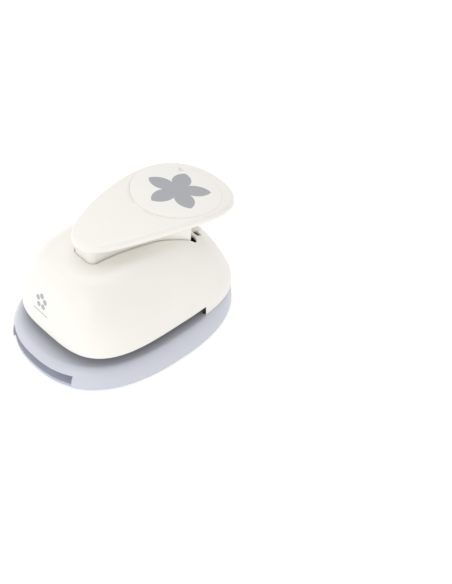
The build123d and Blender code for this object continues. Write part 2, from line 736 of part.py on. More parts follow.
with BuildPart() as upper_housing:
    housing_body(0)
    add(trough.part, mode=Mode.SUBTRACT)
    add(housing_cavity.part, mode=Mode.SUBTRACT)
    # The throat: the lower band stays only behind the notch.
    with BuildSketch(Plane.XY.offset(BASE_TOP)):
        with Locations((0, THROAT_END_Y)):
            Rectangle(BASE_WIDTH, BASE_LENGTH, align=(Align.CENTER, Align.MAX))
    extrude(amount=THROAT_GAP, mode=Mode.SUBTRACT)
    # The opening that the lever's skirt goes down through.
    add(skirt_opening, mode=Mode.SUBTRACT)
    # Two slots in the trough's floor, behind the skirt's back corners.
    with BuildSketch(Plane.XY.offset(pusher_top)):
        with Locations(*[(side * SLOT_X, hook_end + SLOT_BACK / 2) for side in (-1, 1)]):
            Rectangle(SLOT_WIDTH, SLOT_DEPTH)
    extrude(amount=HOUSING_TOP, mode=Mode.SUBTRACT)
    bores(front_boss_places, SCREW_RADIUS + SCREW_FIT, guide_top, guide_top + THREAD_LENGTH)
    bores(rear_boss_places, SCREW_RADIUS + SCREW_FIT, BASE_TOP, BASE_TOP + THREAD_LENGTH)
save(upper_housing, "upper_housing")

housing_front_screws = screws_up(
    front_boss_places, guide_bottom, GUIDE_THICKNESS + THREAD_LENGTH - SCREW_END_GAP, flat_head=True
)
save(housing_front_screws, "housing_front_screws")

housing_rear_screws = screws_up(
    rear_boss_places, deck_under, DECK_THICKNESS + THREAD_LENGTH - SCREW_END_GAP
)
save(housing_rear_screws, "housing_rear_screws")

# --- Pivot bracket, pin and clips -------------------------------------------------------------
with BuildPart() as pivot_bracket:
    with BuildSketch(Plane.XY.offset(guide_top)):
        with Locations((0, PIVOT_Y - (BRACKET_FRONT - BRACKET_REAR) / 2)):
            RectangleRounded(2 * BRACKET_HALF_WIDTH, BRACKET_FRONT + BRACKET_REAR, 2)
    extrude(amount=BRACKET_SHEET)
    for side in (-1, 1):
        with BuildSketch(Plane.YZ.offset(side * (ear_inner + BRACKET_SHEET / 2))):
            with BuildLine():
                Polyline(
                    (PIVOT_Y - BRACKET_FRONT + 2, guide_top),
                    (PIVOT_Y + BRACKET_REAR, guide_top),
                    (PIVOT_Y + EAR_HALF_WIDTH, pivot_z - EAR_HALF_WIDTH),
                    (PIVOT_Y + EAR_HALF_WIDTH, pivot_z),
                    (PIVOT_Y - EAR_HALF_WIDTH, pivot_z),
                    close=True,
                )
            make_face()
            with Locations((PIVOT_Y, pivot_z)):
                Circle(EAR_HALF_WIDTH)
                Circle(PIN_RADIUS + SCREW_FIT, mode=Mode.SUBTRACT)
        extrude(amount=BRACKET_SHEET / 2, both=True)
    bores(bracket_screw_places, SCREW_RADIUS + SCREW_FIT, guide_top, guide_top + BRACKET_SHEET)
save(pivot_bracket, "pivot_bracket")

bracket_screws = screws_down(
    bracket_screw_places, guide_top + BRACKET_SHEET, BRACKET_SHEET + THREAD_LENGTH - SCREW_END_GAP
)
save(bracket_screws, "bracket_screws")

pin_half = ear_outer + SIDE_GAP + CLIP_THICKNESS + PIN_END
with BuildPart() as pivot_pin:
    with BuildSketch(Plane.YZ):
        with Locations((PIVOT_Y, pivot_z)):
            Circle(PIN_RADIUS)
    extrude(amount=pin_half, both=True)
    chamfer(pivot_pin.edges().filter_by(GeomType.CIRCLE), BREAK_EDGE)
save(pivot_pin, "pivot_pin")

with BuildPart() as pivot_clips:
    for side in (-1, 1):
        clip_middle = ear_outer + SIDE_GAP + CLIP_THICKNESS / 2
        with BuildSketch(Plane.YZ.offset(side * clip_middle)):
            with Locations((PIVOT_Y, pivot_z)):
                Circle(CLIP_RADIUS)
                Circle(PIN_RADIUS + SCREW_FIT, mode=Mode.SUBTRACT)
            with Locations((PIVOT_Y, pivot_z + CLIP_RADIUS)):
                Rectangle(1.6 * PIN_RADIUS, 2 * CLIP_RADIUS - 1, mode=Mode.SUBTRACT)
        extrude(amount=CLIP_THICKNESS / 2, both=True)
save(pivot_clips, "pivot_clips")

# --- Lever cover, pad, arm and nose -----------------------------------------------------------
skirt_plane = lever_plane(SKIRT_DEPTH)
skirt_outside = skirt_block(skirt_plane, LEVER_FRONT_Y, HOUSING_TOP, 0, 0)
skirt_inside = skirt_block(skirt_plane, LEVER_FRONT_Y, HOUSING_TOP, -SKIRT_WALL, -SKIRT_WALL)
boss_places = [(0, place) for place in ARM_BOSS_PLACES]
hook_top = trough_height(hook_end) - HOUSING_WALL / cos(radians(PRESS_ANGLE)) - HOOK_GAP

with BuildPart() as lever_cover:
    add(arched(teardrop(0), 0, LEVER_THICKNESS))
    fillet(lever_cover.edges(), LEVER_EDGE)
    hollow = arched(teardrop(LEVER_WALL + LEVER_EDGE / 2), LEVER_WALL, LEVER_THICKNESS + LEVER_EDGE)
    add(hollow, mode=Mode.SUBTRACT)
    add(under_arch(skirt_outside, LEVER_WALL / 2))
    add(under_arch(skirt_inside, LEVER_WALL), mode=Mode.SUBTRACT)
    # Bosses for the arm's screws, and the round pocket for the pad.
    with BuildSketch(lever_plane(ARM_DEPTH)):
        with Locations(*boss_places):
            Circle(ARM_BOSS_RADIUS)
    extrude(amount=ARM_BOSS_REACH)
    with BuildSketch(lever_plane(ARM_DEPTH)):
        with Locations(*boss_places):
            Circle(SCREW_RADIUS + SCREW_FIT)
    extrude(amount=ARM_DEPTH - LEVER_WALL - SEAT_GAP, mode=Mode.SUBTRACT)
    pocket_size = 2 * (PAD_RADIUS + RUNNING_FIT)
    pocket = ring(pocket_size, pocket_size, 2, PAD_BACK)
    add(arched(pocket, -PAD_THICKNESS, PAD_THICKNESS - PAD_PROUD), mode=Mode.SUBTRACT)
    # Room for the bracket's ears under the skirt's front.
    with BuildSketch(Plane.XY.offset(pivot_z)):
        with Locations((0, PIVOT_Y + ARM_HUB)):
            Rectangle(LEVER_WIDTH, LEVER_WIDTH, align=(Align.CENTER, Align.MAX))
    extrude(amount=EAR_HALF_WIDTH + EAR_CLEARANCE, mode=Mode.SUBTRACT)
    # The hook at the back catches under the trough's floor and stops the lever from lifting.
    with BuildSketch(Plane.YZ):
        with BuildLine():
            Polyline(
                (SKIRT_REAR_Y - SKIRT_WALL - 1, hook_top - HOOK_THICKNESS),
                (hook_end, hook_top - HOOK_THICKNESS),
                (hook_end, hook_top),
                (SKIRT_REAR_Y - HOOK_SETBACK, hook_top),
                (SKIRT_REAR_Y - HOOK_SETBACK, arch_height(SKIRT_REAR_Y, LEVER_THICKNESS)),
                (SKIRT_REAR_Y - SKIRT_WALL - 1, arch_height(SKIRT_REAR_Y, LEVER_THICKNESS)),
                close=True,
            )
        make_face()
    extrude(amount=HOOK_HALF_WIDTH, both=True)
save(lever_cover, "lever_cover")

with BuildPart() as pad_disc:
    pad_outline = ring(2 * PAD_RADIUS, 2 * PAD_RADIUS, 2, PAD_BACK)
    add(arched(pad_outline, -PAD_PROUD, PAD_THICKNESS - PAD_PROUD))
save(pad_disc, "pad_disc")

arm_front = SKIRT_FRONT_Y + SKIRT_WALL + 2 * SEAT_GAP
with BuildPart() as lever_arm:
    with BuildSketch(Plane.YZ):
        with BuildLine():
            Polyline(
                (arm_front, lever_height(arm_front, ARM_DEPTH)),
                (arm_front, pivot_z),
                (PIVOT_Y, pivot_z - ARM_HUB),
                (-2 * NOSE_HUB, nose_axis - NOSE_HUB),
                (2 * NOSE_HUB, nose_axis - NOSE_HUB),
                (ARM_REAR_Y, lever_height(ARM_REAR_Y, ARM_DEPTH + ARM_TAIL)),
                (ARM_REAR_Y, lever_height(ARM_REAR_Y, ARM_DEPTH)),
                close=True,
            )
        make_face()
        with Locations((PIVOT_Y, pivot_z)):
            Circle(ARM_HUB)
            Circle(PIN_RADIUS + RUNNING_FIT, mode=Mode.SUBTRACT)
        with Locations((0, nose_axis)):
            Circle(NOSE_PIN_RADIUS + SCREW_FIT, mode=Mode.SUBTRACT)
    extrude(amount=ARM_HALF_WIDTH, both=True)
    with BuildSketch(lever_plane(ARM_DEPTH + ARM_SHEET)):
        Rectangle(2 * arm_inner, 2 * LEVER_LENGTH, align=(Align.CENTER, Align.CENTER))
    extrude(amount=-LEVER_LENGTH, mode=Mode.SUBTRACT)
    with BuildSketch(lever_plane(ARM_DEPTH)):
        with Locations(*boss_places):
            Circle(SCREW_RADIUS + SCREW_FIT)
    extrude(amount=-ARM_SHEET, mode=Mode.SUBTRACT)
save(lever_arm, "lever_arm")

arm_screw = screw_shape(ARM_SHEET + ARM_DEPTH - LEVER_WALL - 2 * SEAT_GAP, flat_head=False)
with BuildPart() as arm_screws:
    with Locations(lever_plane(ARM_DEPTH + ARM_SHEET)):
        with Locations(*boss_places):
            add(arm_screw)
save(arm_screws, "arm_screws")

with BuildPart() as press_nose:
    with BuildSketch(Plane.YZ):
        with Locations((0, nose_axis)):
            Circle(NOSE_RADIUS)
            Rectangle(2 * NOSE_RADIUS, NOSE_BLOCK, align=(Align.CENTER, Align.MIN))
            Circle(NOSE_PIN_RADIUS + SCREW_FIT, mode=Mode.SUBTRACT)
    extrude(amount=arm_inner - SIDE_GAP, both=True)
save(press_nose, "press_nose")

with BuildPart() as nose_pin:
    with BuildSketch(Plane.YZ):
        with Locations((0, nose_axis)):
            Circle(NOSE_PIN_RADIUS)
    extrude(amount=ARM_HALF_WIDTH + PIN_END, both=True)
    chamfer(nose_pin.edges().filter_by(GeomType.CIRCLE), BREAK_EDGE)
save(nose_pin, "nose_pin")
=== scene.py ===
# %% [markdown]
# # A lever craft punch
# A craft punch cuts a paper flower when its lever is pressed. The measured model comes in first
# and stays where it is: three groups, the base, the lever and the plunger with the cutter.
# The formulas below are written round the flower's upright axis, a little ahead of the middle.
# The steel pieces inside keep their measured shapes and only get a finish. The big moulded
# shells are drawn again as smooth skins, because real mouldings have soft edges and a fine
# grain, and a skin worked out as one grid shades evenly.

# %% Load the measured model
from math import atan2, cos, hypot, pi, radians, sin, sqrt

import bpy
import numpy as np
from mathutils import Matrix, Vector


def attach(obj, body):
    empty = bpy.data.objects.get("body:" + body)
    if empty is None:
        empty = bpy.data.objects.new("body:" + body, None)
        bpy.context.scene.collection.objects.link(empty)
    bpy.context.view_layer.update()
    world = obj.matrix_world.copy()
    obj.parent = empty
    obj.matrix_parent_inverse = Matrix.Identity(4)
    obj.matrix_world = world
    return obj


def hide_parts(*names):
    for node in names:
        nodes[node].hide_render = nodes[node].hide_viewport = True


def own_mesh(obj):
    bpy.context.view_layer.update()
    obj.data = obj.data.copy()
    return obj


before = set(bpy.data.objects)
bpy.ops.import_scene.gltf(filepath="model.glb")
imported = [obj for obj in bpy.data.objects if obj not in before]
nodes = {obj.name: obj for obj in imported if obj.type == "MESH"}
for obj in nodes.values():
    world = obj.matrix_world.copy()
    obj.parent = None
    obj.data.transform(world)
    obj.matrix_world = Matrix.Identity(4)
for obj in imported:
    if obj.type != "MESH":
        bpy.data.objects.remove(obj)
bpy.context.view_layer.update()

MM = 0.001
FLOWER_Y = -5.2195  # the flower's axis along Y, in millimetres
print("pieces in the measured model:", len(nodes))

# %% [markdown]
# ## From a grid of points to a mesh
# Every moulded piece here is a grid: rows follow its profile, from the bottom edge up the
# outside, over the top and down the inside, and columns go round it. A ring-shaped shell joins
# its last row to its first, and a closed cap ends in a point at both ends. Four neighbouring
# points make one face, and the order of its corners decides which side is outside.


# %% The grid helper
def skin(name, rows, body, stands_for, poles=None, crease=38, inside=None):
    """Face (r, c) has the corners (r, c), (r, c+1), (r+1, c+1), (r+1, c); columns join up.

    Rows from number inside on get the piece's second finish.
    """
    points = np.asarray(rows, float)
    count, columns = points.shape[:2]
    row = np.arange(count if poles is None else count - 1)[:, None]
    column = np.arange(columns)[None, :]
    after = (column + 1) % columns
    above = (row + 1) % count * columns
    corners = np.stack(
        np.broadcast_arrays(row * columns + column, row * columns + after, above + after, above + column),
        axis=-1,
    ).reshape(-1, 4)
    faces = corners.tolist()
    flat = points.reshape(-1, 3)
    if poles is not None:
        first, last = len(flat), len(flat) + 1
        flat = np.vstack([flat, poles])
        around, step = column[0], after[0]
        top = (count - 1) * columns
        faces += np.stack([np.full(columns, first), step, around], axis=1).tolist()
        faces += np.stack([top + around, top + step, np.full(columns, last)], axis=1).tolist()
    flat = flat + [0, FLOWER_Y, 0]
    mesh = bpy.data.meshes.new(name)
    mesh.from_pydata((flat * MM).tolist(), [], faces)
    mesh.shade_smooth()
    mesh.set_sharp_from_angle(angle=radians(crease))
    if inside is not None:
        second = np.zeros(len(faces), np.int32)
        second[inside * columns:len(corners)] = 1
        mesh.materials.append(None)
        mesh.materials.append(None)
        mesh.polygons.foreach_set("material_index", second)
    piece = bpy.data.objects.new(name, mesh)
    bpy.context.scene.collection.objects.link(piece)
    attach(piece, body)
    if stands_for:
        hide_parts(stands_for)
    print(f"{name}: {count} rows of {columns} points")
    return piece


# %% [markdown]
# ## Shader sums as plain Python
# A finish is a few sums on the position of a point. Each sum is a node, and a small class lets
# them be written as Python expressions. One method makes every other node: it takes the kind
# of node, its settings and what goes into it.


# %% A number that changes over a surface
class Amount:
    def __init__(self, finish, socket):
        self.finish, self.socket = finish, socket

    def sum(self, operation, other, swap=False):
        pair = (other, self) if swap else (self, other)
        node = self.finish.node("ShaderNodeMath", {"operation": operation}, dict(enumerate(pair)))
        return Amount(self.finish, node.outputs[0])

    def __add__(self, other):
        return self.sum("ADD", other)

    def __radd__(self, other):
        return self.sum("ADD", other, True)

    def __sub__(self, other):
        return self.sum("SUBTRACT", other)

    def __rsub__(self, other):
        return self.sum("SUBTRACT", other, True)

    def __mul__(self, other):
        return self.sum("MULTIPLY", other)

    def __rmul__(self, other):
        return self.sum("MULTIPLY", other, True)

    def __pow__(self, other):
        return self.sum("POWER", other)

    def least(self, other):
        return self.sum("MINIMUM", other)

    def most(self, other):
        return self.sum("MAXIMUM", other)

    def size(self):
        return self.sum("ABSOLUTE", 0)

    def mask(self):
        """Keeps the number between 0 and 1."""
        return self.most(0).least(1)


# %% A finish made of nodes
class Finish:
    def __init__(self, name, **constants):
        self.material = bpy.data.materials.new(name)
        self.material.use_nodes = True
        self.tree = self.material.node_tree
        self.tree.nodes.clear()
        named = {key.replace("_", " "): value for key, value in constants.items()}
        self.shader = self.node("ShaderNodeBsdfPrincipled", {}, named)
        self.node("ShaderNodeOutputMaterial", {}, {"Surface": self.shader.outputs[0]})
        where = self.node("ShaderNodeTexCoord", {}, {}).outputs["Object"]
        scaled = self.node("ShaderNodeVectorMath", {"operation": "SCALE"}, {0: where, "Scale": 1000})
        self.place = scaled.outputs[0]  # the point's place in millimetres
        split = self.node("ShaderNodeSeparateXYZ", {}, {0: self.place})
        self.x, self.y, self.z = [Amount(self, socket) for socket in split.outputs]
        self.y = self.y - FLOWER_Y  # from the flower's axis

    def node(self, kind, settings, inputs):
        made = self.tree.nodes.new(kind)
        for key, value in settings.items():
            setattr(made, key, value)
        for key, value in inputs.items():
            if isinstance(value, Amount):
                value = value.socket
            if isinstance(value, bpy.types.NodeSocket):
                self.tree.links.new(value, made.inputs[key])
            else:
                made.inputs[key].default_value = value
        return made

    def noise(self, scale, detail=2.0, stretch=(1, 1, 1)):
        """Soft random values, with this many bumps to the millimetre."""
        drawn = self.node("ShaderNodeVectorMath", {"operation": "MULTIPLY"}, {0: self.place, 1: stretch})
        made = self.node(
            "ShaderNodeTexNoise", {}, {"Vector": drawn.outputs[0], "Scale": scale, "Detail": detail}
        )
        return Amount(self, made.outputs[0])

    def blend(self, factor, first, second):
        """A colour between two colours."""
        made = self.node("ShaderNodeMix", {"data_type": "RGBA"}, {0: factor, 6: first, 7: second})
        return made.outputs[2]

    def set(self, socket, value):
        link = value.socket if isinstance(value, Amount) else value
        self.tree.links.new(link, self.shader.inputs[socket])

    def grain(self, height, depth_mm, strength=1.0):
        """Raises the surface by height times depth_mm."""
        bump = self.node(
            "ShaderNodeBump", {}, {"Height": height, "Distance": depth_mm * MM, "Strength": strength}
        )
        self.set("Normal", bump.outputs[0])


def spot(x, y, centre, radius, soft=0.12):
    """1 inside a circle and 0 outside it, with a soft edge."""
    dx, dy = x - centre[0], y - centre[1]
    away = (dx * dx + dy * dy) ** 0.5
    return ((radius - away) * (1 / soft) + 0.5).mask()


def strip(x, y, centre, half_x, half_y, soft=0.12):
    """1 inside a rectangle and 0 outside it, with a soft edge."""
    over_x = (half_x - (x - centre[0]).size()) * (1 / soft) + 0.5
    over_y = (half_y - (y - centre[1]).size()) * (1 / soft) + 0.5
    return over_x.least(over_y).mask()


# %% [markdown]
# ## The base's skin
# The base is a lavender tub, a rounded oblong that is squarer than an ellipse. Its shoulder
# leans in at the front and sides, and a finger recess is cut into its nose. Lofting it as solids
# leaves hard edges round the recess, so here each row has two profiles: columns in the nose
# start on the recess's back wall and come out along its ceiling, and all others stay on the wall.

# %% The base's outline
NOSE_HALF, NOSE_COLUMNS, SIDE_COLUMNS = 26.0, 61, 330
BASE_HALF_LENGTH, BASE_HALF_WIDTH, BASE_MIDDLE, BASE_POWER, BASE_LEAN = 63.5, 49.5, -0.5, 2.4, 6
nose_x = np.linspace(-NOSE_HALF, NOSE_HALF, NOSE_COLUMNS)
in_nose = np.arange(NOSE_COLUMNS + SIDE_COLUMNS) < NOSE_COLUMNS


def loop(half_length, half_width, centre_y, power):
    """|x / half_width|^power + |(y - centre_y) / half_length|^power = 1.

    Nose columns keep their x. The others are at even angles from the nose's edge and back.
    """
    front = (1 - np.abs(nose_x / half_width) ** power) ** (1 / power)
    edge = NOSE_HALF + 0.04
    start = atan2(-half_length * (1 - (edge / half_width) ** power) ** (1 / power), edge)
    angle = np.linspace(start, pi - start, SIDE_COLUMNS)
    reach = np.abs(np.cos(angle) / half_width) ** power + np.abs(np.sin(angle) / half_length) ** power
    reach = reach ** (-1 / power)
    x = np.concatenate([nose_x, reach * np.cos(angle)])
    y = np.concatenate([-half_length * front, reach * np.sin(angle)]) + centre_y
    return np.stack([x, y], axis=1)


def base_loop(inset, lean):
    """The base's outline drawn in by inset all round and by lean at the front and sides."""
    half_length, half_width = BASE_HALF_LENGTH - inset - lean / 2, BASE_HALF_WIDTH - inset - lean
    return loop(half_length, half_width, BASE_MIDDLE + lean / 2, BASE_POWER)


def base_row(nose, side):
    """One row: (inset, lean, height) for the nose's columns and for the others."""
    place = np.where(in_nose[:, None], base_loop(*nose[:2]), base_loop(*side[:2]))
    return np.column_stack([place, np.where(in_nose, nose[2], side[2])])


def flat_row(outline, height):
    return np.column_stack([outline, np.full(len(outline), height)])


# %% The base's rows
FOOT, SHOULDER, UNDER_DECK = 0.8, 13.0, 10.6
FOOT_ROUND, TUB_WALL, RECESS_DEEP, RECESS_TOP = 0.8, 2.4, 9.0, 8.8
COVER_TOP = 2.84  # the recess's back wall starts just above the cover's tongue


def lean_at(height, top):
    """6 (1 - sqrt(1 - share^2.5)), where share goes from 0 at the foot to 1 at the top."""
    share = min(1.0, max(0.0, (height - FOOT) / (top - FOOT)))
    return BASE_LEAN * (1 - sqrt(1 - share**2.5))


base_rows = []
for turn in np.linspace(0, pi / 2, 6):
    rounded = (FOOT_ROUND * (1 - sin(turn)), 0.0, FOOT + FOOT_ROUND * (1 - cos(turn)))
    base_rows.append(base_row((RECESS_DEEP, 0.0, COVER_TOP + 0.16 * turn), rounded))
recess = [(RECESS_DEEP, height) for height in np.linspace(3.2, 8.1, 19)]
recess += [(8.93, 8.45), (8.7, 8.7)]
recess += [(inset, RECESS_TOP) for inset in (8.3, 6.5, 5, 3, 1.9)] + [(1.6, 8.84), (1.42, 8.98)]
wall_heights = np.linspace(2.3, 9.2, len(recess))
for (inset, height), beside in zip(recess, wall_heights):
    base_rows.append(base_row((inset, 0.0, height), (0.0, lean_at(beside, SHOULDER), beside)))
start = ((9.3 - FOOT) / (SHOULDER - FOOT)) ** 1.25
for turn in np.linspace(np.arcsin(start), pi / 2, 26):
    share = sin(turn) ** 0.8
    shoulder = (0.0, BASE_LEAN * (1 - cos(turn)), FOOT + share * (SHOULDER - FOOT))
    base_rows.append(base_row(shoulder, shoulder))
DIE_HALF_LENGTH, DIE_HALF_WIDTH, DIE_MIDDLE, DIE_POWER = 41.0, 33.0, 3.0, 12.2
deck_edge = base_loop(0.0, BASE_LEAN)
pocket_edge = loop(DIE_HALF_LENGTH + 0.6, DIE_HALF_WIDTH + 0.6, DIE_MIDDLE, DIE_POWER)
for share in (0.06, 0.2, 0.4, 0.6, 0.8, 0.94, 1.0):
    base_rows.append(flat_row(deck_edge * (1 - share) + pocket_edge * share, SHOULDER))
for grow, height in ((0.3, 12.96), (0.22, 12.85), (0.2, 12.6), (0.2, 10.0), (-3.0, 10.0), (-3.0, 8.0),
                     (TUB_WALL, 8.0), (TUB_WALL, UNDER_DECK)):
    pocket = loop(DIE_HALF_LENGTH + grow, DIE_HALF_WIDTH + grow, DIE_MIDDLE, DIE_POWER)
    base_rows.append(flat_row(pocket, height))
inner_nose = [UNDER_DECK, 9, 7.5, 6, 4.5, 3.5, 2.83]
inner_side = [10.5, 9.6, 8, 6, 4, 2, FOOT]
for height, beside in zip(inner_nose, inner_side):
    behind_recess = (RECESS_DEEP + TUB_WALL, 0.0, height)
    base_rows.append(base_row(behind_recess, (TUB_WALL, lean_at(beside, UNDER_DECK), beside)))
base_skin = skin("base_tub", base_rows, "base", "base_shell")

# %% [markdown]
# ## The housing's skin
# The ivory housing is a soft dome on the base. Its wall starts upright and ends level, so a
# power curve gives its profile. The lever drops into a sloping trough in its back, and a hole
# shaped like the lever's skirt opens in its top. Boolean cuts on a mesh leave ragged edges. A
# grid whose rows run from the wall to the hole has none, with its height taken from a formula.

# %% The dome's formula
CROWN, EDGE, DECK = 58.0, 19.2, 13.0
DOME_HALF_LENGTH, DOME_HALF_WIDTH, DOME_MIDDLE, DOME_POWER = 56, 43, 3.7, 3.3
DRAW_IN, CROWN_SHIFT, SHELL = 25, 6.3, 2.2
NOTCH_Y = 24.5


def section(turn, inset):
    """The wall at this turn, 1 at the foot and 0 at the crown: half length, half width, middle, z.

    height = (1 - turn^2.36)^(1/1.18), and the wall draws in by 25 (1 - turn).
    """
    height = (1 - turn**2.36) ** (1 / 1.18)
    drawn = inset + DRAW_IN * (1 - turn)
    z = EDGE + height * (CROWN - inset - EDGE)
    return DOME_HALF_LENGTH - drawn, DOME_HALF_WIDTH - drawn, DOME_MIDDLE - CROWN_SHIFT * height, z


def dome_height(x, y, inset):
    """z of the dome over (x, y): halves the turn's range until the wall passes through the point."""
    low, high = np.zeros_like(x), np.ones_like(x)
    for _ in range(34):
        turn = (low + high) / 2
        long, wide, middle, _ = section(turn, inset)
        outside = np.abs(x / wide) ** DOME_POWER + np.abs((y - middle) / long) ** DOME_POWER > 1
        low, high = np.where(outside, turn, low), np.where(outside, high, turn)
    return section((low + high) / 2, inset)[3]


# %% The lever's arc, the trough and the two small slots
TILT, SLOPE, PRESS = radians(3.5), radians(7.3), radians(10)
PIVOT = (-24.5, 46.0)
LEVER_FRONT, LEVER_TOP, LEVER_LENGTH, LEVER_HALF, ARCH = -27.7, 70.3, 102.0, 28.4, 5.5
UNDER_LEVER = 5.8  # from the pressed lever's top down to the trough's floor
TROUGH_MARGIN = 1.6
SLOT_X, SLOT_Y = 20, 37.5
RADIUS = (LEVER_LENGTH**2 / 4 + ARCH**2) / (2 * ARCH)


def pressed(y, z):
    """The place (y, z) turned about the pivot by the lever's full travel."""
    dy, dz = y - PIVOT[0], z - PIVOT[1]
    return PIVOT[0] + dy * cos(PRESS) + dz * sin(PRESS), PIVOT[1] + dz * cos(PRESS) - dy * sin(PRESS)


ARC = (
    LEVER_FRONT + LEVER_LENGTH / 2 * cos(SLOPE) - (RADIUS - ARCH) * sin(SLOPE),
    LEVER_TOP - LEVER_LENGTH / 2 * sin(SLOPE) - (RADIUS - ARCH) * cos(SLOPE),
)
PRESSED_ARC, PRESSED_FRONT = pressed(*ARC), pressed(LEVER_FRONT, LEVER_TOP)


def arc_height(y, depth, arc=ARC):
    """Height of a circle about the arc's middle, this far under the lever's top."""
    return arc[1] + np.sqrt((RADIUS - depth) ** 2 - (y - arc[0]) ** 2)


def teardrop_half(along, inset):
    """(28.4 - inset) t^0.41 sqrt(1 - t^5.2) / widest, where t is the share of the lever's length."""
    share = np.clip((along - inset) / (LEVER_LENGTH - 2 * inset), 0, 1)
    return (LEVER_HALF - inset) * share**0.41 * np.sqrt(1 - share**5.2) / 0.7942


def housing_height(x, y, inset):
    """The dome, less whatever stands above the trough's floor inside the trough's outline.

    The floor is an arc 5.8 below the pressed lever's top.
    """
    dome = dome_height(x, y, inset)
    floor = arc_height(y, UNDER_LEVER + inset, PRESSED_ARC)
    over = dome - floor
    depth = (over + np.sqrt(over**2 + 0.16)) / 2
    along = (y - PRESSED_FRONT[0]) * cos(SLOPE + PRESS) - (floor - PRESSED_FRONT[1]) * sin(SLOPE + PRESS)
    inside = np.clip((teardrop_half(along, -TROUGH_MARGIN - inset) - np.abs(x)) / 0.9 + 0.5, 0, 1)
    lowered = dome - inside**2 * (3 - 2 * inside) * depth
    slot = np.minimum(2.1 - np.abs(np.abs(x) - SLOT_X), 1.35 - np.abs(y - SLOT_Y))
    return lowered - 1.6 * (1 - inset / SHELL) * np.clip(slot / 0.25 + 0.5, 0, 1)


# %% The hole for the skirt
SKIRT_FRONT, SKIRT_REAR = -24.5, 31.5


def skirt_outline(grow, rear_grow, corner_front, corner_rear, origin=0.0):
    """Half width 8 + 17 t^1.75 from front to rear, with rounded corners; points run right side up."""
    front, rear = SKIRT_FRONT - grow, SKIRT_REAR + rear_grow
    y = np.linspace(front, rear, 900)
    half = 8 + grow + 17 * np.clip((y - SKIRT_FRONT) / (SKIRT_REAR - SKIRT_FRONT), 0, 1) ** 1.75
    # Each end is pulled in along a quarter circle of the corner's radius.
    for end, corner in ((front, corner_front), (rear, corner_rear)):
        gone = np.clip(1 - np.abs(y - end) / corner, 0, 1)
        half = half - corner * (1 - np.sqrt(1 - gone**2))
    right = np.stack([half, y - origin], axis=1)
    across = np.linspace(1, -1, 80)[1:-1, None]
    back = np.hstack([half[-1] * across, np.full((78, 1), rear - origin)])
    ahead = np.hstack([-half[0] * across, np.full((78, 1), front - origin)])
    return np.vstack([right, back, right[::-1] * [-1, 1], ahead])


def seen_from(outline, centre, angle):
    """The outline's distance from the centre at each angle."""
    away = outline - centre
    turn, reach = np.arctan2(away[:, 1], away[:, 0]), np.hypot(away[:, 0], away[:, 1])
    return np.interp(angle, turn, reach, period=2 * pi)


# %% The housing's rows
notch_up = NOTCH_Y - DOME_MIDDLE
notch_x = DOME_HALF_WIDTH * (1 - (notch_up / DOME_HALF_LENGTH) ** DOME_POWER) ** (1 / DOME_POWER)
notch = atan2(notch_up, notch_x)
doubled = [notch - 4e-4, notch + 4e-4, pi - notch - 4e-4, pi - notch + 4e-4]
angles = np.sort(np.concatenate([np.linspace(-pi, pi, 470, endpoint=False) + 0.003, doubled]))
behind = (angles > notch) & (angles < pi - notch)
lower_edge = np.where(behind, DECK, EDGE)


def wall_ring(turn, inset):
    """The wall's outline at this turn, at every column's angle."""
    long, wide, middle, _ = section(turn, inset)
    reach = np.abs(np.cos(angles) / wide) ** DOME_POWER + np.abs(np.sin(angles) / long) ** DOME_POWER
    reach = reach ** (-1 / DOME_POWER)
    return np.stack([reach * np.cos(angles), middle + reach * np.sin(angles)], axis=1)


def turn_at(height, inset):
    share = max(0.0, (height - EDGE) / (CROWN - inset - EDGE))
    return (1 - share**1.18) ** (1 / 2.36)


LAST_TURN = 0.75
EYE = np.array([0.0, 12.0])
hole = skirt_outline(1.0, 2.4, 4.5, 3.2)


def housing_sheet(inset, wall_steps, top_shares):
    """The sheet's rows from above the band to the hole: up the wall, then in towards the hole."""
    rows = []
    top = float(section(LAST_TURN, inset)[3])
    for height in np.linspace(19.8, top, wall_steps):
        rows.append(flat_row(wall_ring(turn_at(height, inset), inset), height))
    outer = wall_ring(LAST_TURN, inset)
    away = outer - EYE
    heading = np.arctan2(away[:, 1], away[:, 0])
    reach, inner = np.hypot(away[:, 0], away[:, 1]), seen_from(hole, EYE, heading)
    for share in top_shares:
        length = reach * (1 - share) + (inner + 0.4) * share
        x, y = EYE[0] + length * np.cos(heading), EYE[1] + length * np.sin(heading)
        rows.append(np.column_stack([x, y, housing_height(x, y, inset)]))
    return rows, heading, inner


outer_rows, heading, hole_reach = housing_sheet(0.0, 26, np.linspace(0, 1, 76)[1:])
inner_rows, _, _ = housing_sheet(SHELL, 10, np.linspace(0, 1, 30)[1:])
housing_rows = []
for inset, lift in ((0.4, 0.0), (0.12, 0.12), (0.0, 0.4)):
    ring = wall_ring(1.0, inset)
    housing_rows.append(np.column_stack([ring, lower_edge + lift]))
for share in (0.25, 0.5, 0.75):
    ring = wall_ring(1.0, 0.0)
    height = (lower_edge + 0.4) * (1 - share) + 19.7 * share
    housing_rows.append(np.column_stack([ring, height]))
housing_rows += outer_rows
lip = outer_rows[-1][:, 2]
for out, drop in ((0.28, 0.03), (0.12, 0.12), (0.03, 0.28), (0.0, 0.5), (0.0, 2.2)):
    x = EYE[0] + (hole_reach + out) * np.cos(heading)
    y = EYE[1] + (hole_reach + out) * np.sin(heading)
    housing_rows.append(np.column_stack([x, y, lip - drop]))
first_inner = len(housing_rows) - 1
housing_rows += inner_rows[::-1]
for share in (0.0, 0.5, 1.0):
    ring = wall_ring(1.0, SHELL)
    housing_rows.append(np.column_stack([ring, 19.7 * (1 - share) + lower_edge * share]))
# Rows from the hole's lip inwards take the second finish: near-black painted shade, though the real inside is
# ivory.
housing_skin = skin(
    "housing_dome", housing_rows, "base", "upper_housing", inside=first_inner
)

